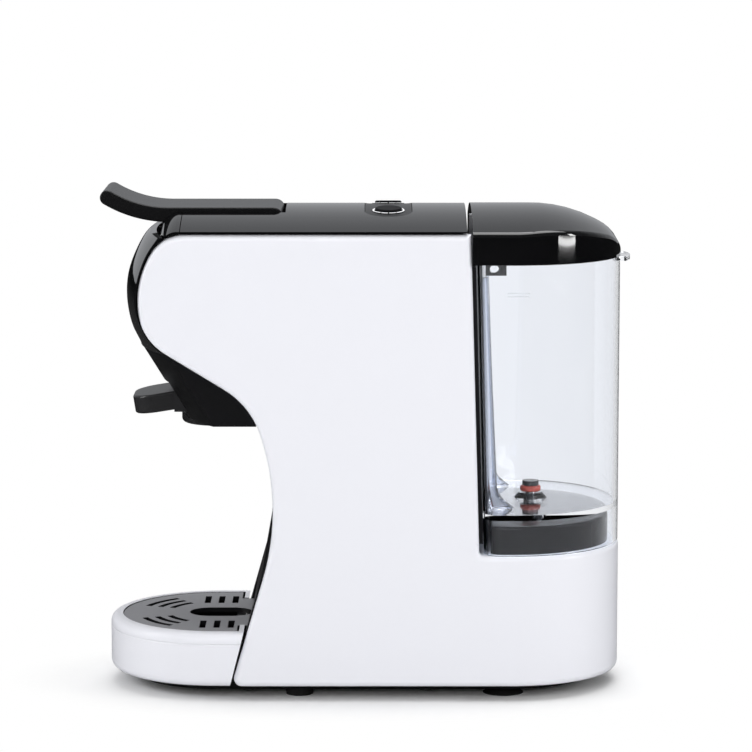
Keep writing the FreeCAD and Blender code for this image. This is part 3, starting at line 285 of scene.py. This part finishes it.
def glow(name, colour, strength):
    """Frosted light guide, a little uneven in its brightness."""
    patch_scale = 300.0
    face_dark, lamp_dark = 0.9, 0.85
    frost_low, frost_spread = 0.35, 0.1
    material = bpy.data.materials.new(name)
    net = Net(material)
    patch = net.noise(patch_scale)
    net.surface(net.principled({
        "Base Color": net.blend(patch, shade(colour, face_dark), colour),
        "Roughness": frost_low + patch * frost_spread,
        "Emission Color": net.blend(patch, shade(colour, lamp_dark), colour),
        "Emission Strength": strength,
    }))
    return material


def tray_painted_shade(name, outside, inside, roughness):
    """White tray with painted shade in a dark colour over its pan and grille seat, and a fine line round
    its side.
    """
    centre = (-75.7 * MM, 0, 0)
    seat_radius = 50.2 * MM
    seat_top = 34.6 * MM
    pan_floor = 9.7 * MM
    rear_lean = math.tan(math.radians(14.3))
    rear_limit = -72.87 * MM
    notch_floor = 31.9 * MM
    line_height, line_core, line_edge = 29.2 * MM, 0.15 * MM, 0.6 * MM
    line_strength, line_depth = 0.6, 0.4 * MM
    drift_scale = 20.0
    material = bpy.data.materials.new(name)
    net = Net(material)
    offset = net.vector("SUBTRACT", net.position(), centre)
    front = net.vector("MINIMUM", offset, (0, 1, 1))
    reach = net.length(net.vector("MULTIPLY", front, (1, 1, 0)))
    slant = net.vector("DOT_PRODUCT", net.position(), (1, 0, -rear_lean), "Value")
    height = net.along(net.position(), "Z")
    inner = (slant < rear_limit) | (height > notch_floor)
    # Painted shade: the pan and the grille seat inside the tray take the dark colour.
    pan_shade = (reach < seat_radius) * inner * (height < seat_top) * (height > pan_floor)
    line = net.ramp(abs(height - line_height), line_core, line_edge, "SMOOTHSTEP")
    net.surface(net.principled({
        "Base Color": net.blend(pan_shade, outside, inside),
        "Roughness": uneven(roughness, 0.15, net.noise(drift_scale)),
        "Normal": net.bump(line, line_strength, line_depth),
    }))
    return material


def grille_painted_shade(name, face, wall, roughness):
    """Grey grille with painted shade in a dark colour on its upright edges and slot walls."""
    level_limit, grain, drift_scale = 0.5, 0.12, 60.0
    material = bpy.data.materials.new(name)
    net = Net(material)
    upward = net.along(net.node("ShaderNodeTexCoord", output="Normal"), "Z")
    net.surface(net.principled({
        # Painted shade: faces that do not point upward take the dark colour.
        "Base Color": net.blend(upward > level_limit, wall, face),
        "Roughness": uneven(roughness, 0.1, net.noise(drift_scale)),
        "Normal": net.bump(net.noise(GRAIN_SCALE, GRAIN_DETAIL), grain, GRAIN_DEPTH),
    }))
    return material


def colours():
    return bpy.context.scene.coffee_colours


def finish_nodes(material, *names):
    for name in names:
        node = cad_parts[name]
        node.data.materials.clear()
        node.data.materials.append(material)


# Mesh pieces
def piece(name, mesh, material, body):
    """A made mesh that rides on a body."""
    mesh.update()
    made = bpy.data.objects.new(name, mesh)
    bpy.context.collection.objects.link(made)
    mesh.materials.append(material)
    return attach(made, body)


def bar_mesh(name, rows):
    """Solid mesh over rows of points: each row is a closed section, and both ends are capped."""
    mesh = bpy.data.meshes.new(name)
    count = len(rows[0])
    points = [tuple(p) for row in rows for p in row]
    faces = []
    for i in range(len(rows) - 1):
        for j in range(count):
            k = (j + 1) % count
            faces.append((i * count + j, i * count + k, (i + 1) * count + k, (i + 1) * count + j))
    last = (len(rows) - 1) * count
    faces.append(tuple(reversed(range(count))))
    faces.append(tuple(range(last, last + count)))
    mesh.from_pydata(points, [], faces)
    for face in mesh.polygons:
        face.use_smooth = True
    return mesh


def on_crown(point, turn):
    """A point of the crest, turned about the long axis of the crowned top."""
    axis = Vector((0, 0, CROWN_AXIS_HEIGHT)) * MM
    return Matrix.Rotation(turn, 3, "X") @ (Vector(point) - axis) + axis


# Operators
class COFFEE_OT_shells(bpy.types.Operator):
    """Finish the white side shells and the drip tray"""
    bl_idname = "coffee.shells"
    bl_label = "Side shells"

    def execute(self, context):
        white = plastic("white shell", colours().white, roughness=0.28, grain=0.03, vary=0.002, scale=5)
        finish_nodes(white, "left_shell", "right_shell")
        # The black satin colour here is painted shade in the tray's pan and grille seat.
        tray = tray_painted_shade("tray white", colours().white, colours().satin, roughness=0.3)
        finish_nodes(tray, "drip_tray")
        return {"FINISHED"}


class COFFEE_OT_top(bpy.types.Operator):
    """Finish the glossy top cover, front trim, front band and tank lid"""
    bl_idname = "coffee.top"
    bl_label = "Top and front"

    def execute(self, context):
        gloss = plastic("black gloss", colours().gloss, roughness=0.05, vary=0.1, coat=0.6,
                        **{"Coat Roughness": 0.02})
        finish_nodes(gloss, "top_cover", "front_trim", "front_fascia", "tank_lid")
        return {"FINISHED"}


class COFFEE_OT_controls(bpy.types.Operator):
    """Finish the control inlay, buttons and boards, and make the lit ring segments"""
    bl_idname = "coffee.controls"
    bl_label = "Controls"

    def execute(self, context):
        satin = plastic("control satin", colours().satin, roughness=0.3, grain=0.05)
        finish_nodes(satin, "control_inlay")
        matt = plastic("button black", colours().satin, roughness=0.4, grain=0.05,
                       **{"Specular IOR Level": 0.05})
        finish_nodes(matt, "button_left", "button_right", "light_ring_left", "light_ring_right")
        light = glow("ring light", RING_LIGHT, strength=0.35)
        turn = math.asin(CONTROL_SIDE / CROWN_RADIUS)
        for side, angle in (("left", turn), ("right", -turn)):
            self.lit_ring(side, angle, context.scene.coffee_sizes.ring_width, light)
        board = plastic("board green", BOARD_GREEN, roughness=0.4, vary=0.2)
        finish_nodes(board, "button_board", "control_board")
        finish_nodes(plastic("dome rubber", DOME_GREY, roughness=0.6), "button_domes")
        return {"FINISHED"}

    def lit_ring(self, side, turn, width, light):
        """Light guides round a button: short arcs with rounded tops and narrow gaps."""
        count, gap, steps = 12, math.radians(5), 8
        sweep = 2 * math.pi / count - gap
        top = CROWN_AXIS_HEIGHT + CROWN_RADIUS
        section = [(-0.5, -0.4), (0.5, -0.4), (0.5, -0.08), (0.3, 0.04), (-0.3, 0.04), (-0.5, -0.08)]
        for number in range(count):
            start = 2 * math.pi * number / count + gap / 2
            rows = []
            for step in range(steps + 1):
                around = start + sweep * step / steps
                row = []
                for across, up in section:
                    radius = RING_RADIUS * MM + across * width
                    x = CONTROL_X * MM + radius * math.cos(around)
                    y = radius * math.sin(around)
                    row.append(on_crown((x, y, (top + up) * MM), turn))
                rows.append(row)
            name = f"ring_{side}_{number}"
            piece(name, bar_mesh(name, rows), light, "machine")


class COFFEE_OT_lever(bpy.types.Operator):
    """Finish the lever, its pin, the pod holder and the spout"""
    bl_idname = "coffee.lever"
    bl_label = "Lever and pod holder"

    def execute(self, context):
        grey = plastic("lever grey", colours().lever, roughness=0.24, grain=0.04,
                       **{"Specular IOR Level": 0.28})
        finish_nodes(grey, "lever_handle")
        # Painted light: the pod holder and spout get a lighter copy of the lever's grey.
        holder_painted_light = 2.6
        holder = plastic("holder grey", shade(colours().lever, holder_painted_light), roughness=0.3, grain=0.05,
                         **{"Specular IOR Level": 0.7})
        finish_nodes(holder, "pod_holder", "spout")
        pin = metal("pin steel", BRIGHT_STEEL, roughness=0.3, stretch=(1, 0.05, 1))
        finish_nodes(pin, "lever_pin")
        return {"FINISHED"}


class COFFEE_OT_column(bpy.types.Operator):
    """Finish the chin, the column panels, the gland and the base with its feet and screws"""
    bl_idname = "coffee.column"
    bl_label = "Column and base"

    def execute(self, context):
        satin = plastic("black satin", colours().satin, roughness=0.34, grain=0.1)
        finish_nodes(satin, "chin_shroud", "front_panel", "back_panel", "base_plate", "cord_gland")
        rubber = plastic("black rubber", RUBBER_BLACK, roughness=0.7, grain=0.2)
        finish_nodes(rubber, "suction_feet", "front_pads", "pump_mounts")
        finish_nodes(metal("screw steel", PLAIN_STEEL, roughness=0.35), "base_screws")
        return {"FINISHED"}


class COFFEE_OT_grille(bpy.types.Operator):
    """Finish the drip grille"""
    bl_idname = "coffee.grille"
    bl_label = "Drip grille"

    def execute(self, context):
        # The black satin colour here is painted shade on the grille's upright edges and slot walls.
        grey = grille_painted_shade("grille grey", colours().grille, colours().satin, roughness=0.4)
        finish_nodes(grey, "drip_grille")
        return {"FINISHED"}


class COFFEE_OT_tank(bpy.types.Operator):
    """Finish the clear tank, its dock and valve, and make the level lines and guide rails"""
    bl_idname = "coffee.tank"
    bl_label = "Water tank"

    def execute(self, context):
        finish_nodes(clear("clear tank", colours().tank), "tank")
        dock = plastic("dock grey", colours().dock, roughness=0.2, **{"Specular IOR Level": 0.15})
        finish_nodes(dock, "tank_dock")
        finish_nodes(plastic("seal red", colours().seal, roughness=0.45, vary=0.12), "valve_seal")
        black = plastic("valve black", VALVE_BLACK, roughness=0.4)
        finish_nodes(black, "valve_plunger", "dock_seal")
        finish_nodes(metal("spring steel", PLAIN_STEEL, roughness=0.3), "valve_spring")
        ink = plastic("level ink", INK_GREY, roughness=0.5)
        upper_line, lower_line = 206.2, 204.6
        for number, height in enumerate((upper_line, lower_line)):
            self.level_line(f"level_line_{number}", height, context.scene.coffee_sizes.level_length, ink)
        rail = clear("tank rail", colours().rail)
        for name, side in (("tank_rail_near", -1), ("tank_rail_far", 1)):
            self.guide_rail(name, side, rail)
        return {"FINISHED"}

    def guide_rail(self, name, side, rail):
        """A clear rail down the inside of the tank's front wall, deeper towards its curved foot."""
        low, high, foot = 95.2, 212.0, 11.0
        wall_low, wall_lean = 60.6, 0.02633
        depth_low, depth_high, flare = 5.6, 2.6, 8.5
        middle, half_width = side * 33.0, 3.2
        half_section = [(0, 1), (0.8, 1), (0.94, 0.8), (0.9, 0.4)]
        section = [(out, -across) for out, across in half_section]
        section.append((1, 0))
        section.extend(reversed(half_section))
        steps, crowding = 40, 1.5
        rows = []
        for step in range(steps + 1):
            height = low + (high - low) * (step / steps) ** crowding
            share = (height - low) / (high - low)
            spread = flare * max(0, 1 - (height - low) / foot) ** 2
            depth = depth_low + (depth_high - depth_low) * share + spread
            wall = wall_low - wall_lean * (height - low)
            rows.append([Vector((wall + out * depth, middle + across * half_width, height)) * MM
                         for out, across in section])
        piece(name, bar_mesh(name, rows), rail, "tank")

    def level_line(self, name, height, length, ink):
        """A thin raised line on the inner face of the near wall."""
        front_end, wall = 69.8, -53.5
        low = Vector((front_end, wall, height)) * MM
        rise, depth = 0.35 * MM, 0.3 * MM
        profile = [(0, 0), (0, 1), (0.7, 0.8), (1, 0.5), (0.7, 0.2)]
        end_depth, ease = 0.15, 8
        steps = 12
        rows = []
        for step in range(steps + 1):
            share = step / steps
            taper = max(end_depth, min(1.0, ease * share, ease * (1 - share)))
            rows.append([low + Vector((length * share, out * depth * taper, up * rise))
                         for out, up in profile])
        piece(name, bar_mesh(name, rows), ink, "tank")


class COFFEE_OT_inside(bpy.types.Operator):
    """Finish the brew group, pump, boiler and hoses"""
    bl_idname = "coffee.inside"
    bl_label = "Inner pieces"

    def execute(self, context):
        steel = metal("brew steel", BRIGHT_STEEL, roughness=0.32, stretch=(1, 1, 0.05))
        finish_nodes(steel, "brew_cylinder", "brew_piston", "shower_plate", "pump_plunger", "thermostat")
        finish_nodes(metal("boiler alloy", BOILER_ALLOY, roughness=0.5), "boiler")
        grey = plastic("inner grey", INNER_GREY, roughness=0.45, grain=0.1)
        finish_nodes(grey, "chassis", "pump_body", "flow_meter")
        finish_nodes(plastic("rotor white", ROTOR_WHITE, roughness=0.4), "meter_rotor")
        finish_nodes(plastic("seal black", SEAL_BLACK, roughness=0.5), "piston_seal")
        hose = plastic("hose rubber", HOSE_GREY, roughness=0.4)
        finish_nodes(hose, "hose_dock_to_meter", "hose_meter_to_pump", "hose_pump_to_boiler",
                     "hose_boiler_to_brew")
        return {"FINISHED"}


def area_light(name, place, target, size, power, mirrored=True):
    """A rectangular lamp that faces a target and may be kept out of glossy reflections."""
    lamp = bpy.data.lights.new(name, "AREA")
    lamp.shape = "RECTANGLE"
    lamp.size, lamp.size_y = size
    lamp.energy = power
    made = bpy.data.objects.new(name, lamp)
    bpy.context.collection.objects.link(made)
    made.location = place
    made.rotation_euler = (Vector(target) - Vector(place)).to_track_quat("-Z", "Y").to_euler()
    made.visible_glossy = mirrored


class COFFEE_OT_stage(bpy.types.Operator):
    """Make the pale floor, the studio lights, the backdrop and the camera"""
    bl_idname = "coffee.stage"
    bl_label = "Stage"

    def execute(self, context):
        self.floor()
        self.world(context.scene)
        self.lights()
        self.camera(context.scene)
        context.scene.view_settings.view_transform = "Standard"
        return {"FINISHED"}

    def lights(self):
        area_light("top softbox", place=(0.1, 0.1, 1.5), target=(0, 0, 0.1),
                   size=(1.4, 1.2), power=16)
        area_light("front softbox", place=(-0.3, -1.9, 0.9), target=(0.02, 0, 0.12),
                   size=(1.3, 1.0), power=21.6, mirrored=False)
        area_light("rear softbox", place=(0.2, 1.9, 1.3), target=(0, 0, 0.12),
                   size=(1.2, 0.8), power=12, mirrored=False)
        area_light("left strip", place=(-1.4, -0.3, 0.6), target=(-0.05, 0, 0.15),
                   size=(0.4, 1.1), power=6)
        area_light("right softbox", place=(1.35, -0.5, 0.55), target=(0.1, -0.04, 0.2),
                   size=(0.3, 0.5), power=6)
        area_light("lid glint", place=(1.29, -0.77, 0.084), target=(0.1, -0.049, 0.23),
                   size=(0.5, 0.008), power=0.2)

    def floor(self):
        """A white floor that holds the shadow near the machine and stays dark in reflections."""
        half = 6.0
        corners = [(-half, -half, 0), (half, -half, 0), (half, half, 0), (-half, half, 0)]
        mesh = bpy.data.meshes.new("floor")
        mesh.from_pydata(corners, [], [(0, 1, 2, 3)])
        floor = bpy.data.objects.new("floor", mesh)
        bpy.context.collection.objects.link(floor)
        mesh.materials.append(self.floor_finish())

    def floor_finish(self):
        pale_grey, dark_grey = (0.9, 0.9, 0.9, 1), (0.03, 0.03, 0.03, 1)
        shadow_shape, shadow_core, shadow_edge = (0.52, 1, 1), 0.06, 0.10
        material = bpy.data.materials.new("floor")
        net = Net(material)
        through = net.light_path("Is Transmission Ray")
        mirrored = net.light_path("Is Glossy Ray") * (1 - through)
        pale = net.node("ShaderNodeBsdfDiffuse", None, {"Color": pale_grey})
        dark = net.node("ShaderNodeBsdfDiffuse", None, {"Color": dark_grey})
        white = net.node("ShaderNodeEmission", None, {"Color": (1, 1, 1, 1), "Strength": 1.0})
        seen = net.light_path("Is Camera Ray") | through
        distance = net.length(net.vector("MULTIPLY", net.position(), shadow_shape))
        beyond = net.ramp(distance, shadow_core, shadow_edge, "SMOOTHSTEP")
        net.surface(net.mix_shaders(seen * beyond, net.mix_shaders(mirrored, pale, dark), white))
        return material

    def world(self, scene):
        """A white backdrop to look at, with dim light from the front and more from behind."""
        near_tint, near_strength = (0.95, 0.97, 1, 1), 0.08
        far_tint, far_strength = (0.94, 0.96, 1, 1), 0.42
        turn_start, turn_end = 0.1, 0.6
        scene.world = bpy.data.worlds.new("studio")
        net = Net(scene.world)
        seen = net.light_path("Is Camera Ray") | net.light_path("Is Transmission Ray")
        across = net.along(net.node("ShaderNodeTexCoord", output="Generated"), "Y")
        behind = net.ramp(across, turn_start, turn_end, "LINEAR")
        near = net.node("ShaderNodeBackground", None, {"Color": near_tint, "Strength": near_strength})
        far = net.node("ShaderNodeBackground", None, {"Color": far_tint, "Strength": far_strength})
        white = net.node("ShaderNodeBackground", None, {"Color": (1, 1, 1, 1), "Strength": 1.0})
        backdrop = net.mix_shaders(seen, net.mix_shaders(behind, near, far), white)
        net.node("ShaderNodeOutputWorld", None, {"Surface": backdrop})

    def camera(self, scene):
        """A long lens in front of the near side, tipped down a little."""
        sensor_width = 36
        picture_pixels, focal_pixels = 752, 3618.36
        aside, height = 0.00472, 0.42143
        level, tip = 90, 8.20574
        lens = bpy.data.cameras.new("camera")
        lens.sensor_width = sensor_width
        lens.lens = focal_pixels / picture_pixels * sensor_width
        lens.clip_end = 50
        made = bpy.data.objects.new("camera", lens)
        bpy.context.collection.objects.link(made)
        made.location = (aside, -scene.coffee_sizes.camera_distance, height)
        made.rotation_euler = (math.radians(level - tip), 0, 0)
        scene.camera = made


# Panel and registration
class COFFEE_PT_panel(bpy.types.Panel):
    """Pieces of the coffee machine"""
    bl_idname = "COFFEE_PT_panel"
    bl_label = "Coffee machine"
    bl_space_type = "VIEW_3D"
    bl_region_type = "UI"
    bl_category = "Coffee machine"

    def draw(self, context):
        for operator in OPERATORS:
            self.layout.operator(operator.bl_idname)
        for group in (context.scene.coffee_colours, context.scene.coffee_sizes):
            for name in group.__annotations__:
                self.layout.prop(group, name)


OPERATORS = (COFFEE_OT_shells, COFFEE_OT_top, COFFEE_OT_controls, COFFEE_OT_lever, COFFEE_OT_column,
             COFFEE_OT_grille, COFFEE_OT_tank, COFFEE_OT_inside, COFFEE_OT_stage)
CLASSES = (CoffeeColours, CoffeeSizes, *OPERATORS, COFFEE_PT_panel)


def register():
    for item in CLASSES:
        bpy.utils.register_class(item)
    bpy.types.Scene.coffee_colours = bpy.props.PointerProperty(type=CoffeeColours)
    bpy.types.Scene.coffee_sizes = bpy.props.PointerProperty(type=CoffeeSizes)


def unregister():
    del bpy.types.Scene.coffee_sizes
    del bpy.types.Scene.coffee_colours
    for item in reversed(CLASSES):
        bpy.utils.unregister_class(item)


def main():
    register()
    bpy.ops.coffee.shells()
    bpy.ops.coffee.top()
    bpy.ops.coffee.controls()
    bpy.ops.coffee.lever()
    bpy.ops.coffee.column()
    bpy.ops.coffee.grille()
    bpy.ops.coffee.tank()
    bpy.ops.coffee.inside()
    bpy.ops.coffee.stage()


if __name__ == "__main__":
    main()
